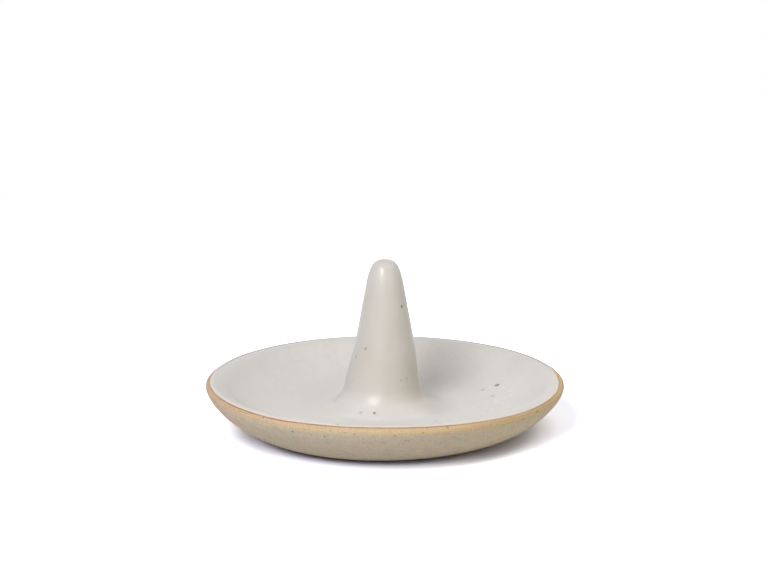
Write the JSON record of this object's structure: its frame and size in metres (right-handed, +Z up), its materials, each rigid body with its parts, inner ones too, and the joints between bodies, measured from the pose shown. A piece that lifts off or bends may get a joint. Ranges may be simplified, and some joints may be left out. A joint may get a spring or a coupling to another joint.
{
  "type": "ring cone",
  "caption": "Shallow round stoneware dish, glazed inside, with a glazed cone rising from its centre: finger rings go on the cone and small jewellery in the dish.",
  "frame": {"origin": "on the table, at the centre of the foot ring's underside", "axes": "+Z up along the axis of the dish and the cone, -Y towards the viewer of the picture, +X to the right"},
  "size_m": [0.115, 0.115, 0.0554],
  "materials": {
    "stoneware": "bare fired stoneware, matt, tan with fine dark specks and a toasted lip",
    "slip": "fired slip, matt",
    "glaze": "satin off-white glaze with sparse brown iron specks"
  },
  "bodies": {
    "root": {"dish": "stoneware", "cone": "stoneware", "slip_joint": "slip", "glaze_coat": "glaze"}
  },
  "joints": []
}
